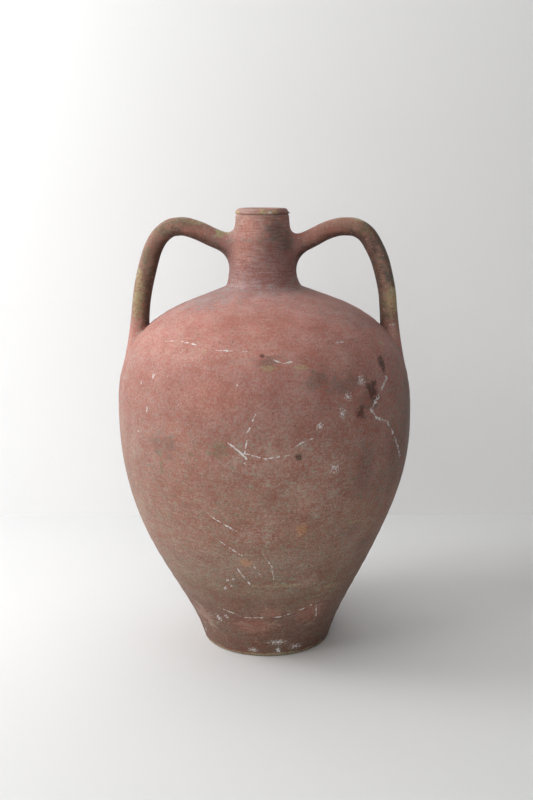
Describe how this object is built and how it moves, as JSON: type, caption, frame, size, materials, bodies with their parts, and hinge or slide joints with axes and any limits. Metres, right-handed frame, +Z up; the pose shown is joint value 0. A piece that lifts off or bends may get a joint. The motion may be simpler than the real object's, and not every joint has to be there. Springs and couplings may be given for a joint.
{
  "type": "amphora",
  "caption": "Tall earthenware amphora with a swelling belly, narrow flat foot, slim neck and two looped handles, for water or display.",
  "frame": {"origin": "on the ground, under the middle of the belly", "axes": "+Z up along the belly's axis; X through the two handles; -Y is the front"},
  "size_m": [0.307, 0.307, 0.46],
  "materials": {
    "body_clay": "matt unglazed",
    "shoulder_clay": "matt unglazed",
    "neck_clay": "matt unglazed",
    "handle_clay": "matt unglazed",
    "luting_clay": "matt unglazed"
  },
  "bodies": {
    "root": {"base_disc": "body_clay", "lower_wall": "body_clay", "belly_wall": "body_clay", "shoulder": "shoulder_clay", "neck": "neck_clay", "rim": "neck_clay", "left_handle": "handle_clay", "right_handle": "handle_clay", "left_neck_weld": "luting_clay", "right_neck_weld": "luting_clay", "left_foot_weld": "luting_clay", "right_foot_weld": "luting_clay"}
  },
  "joints": []
}
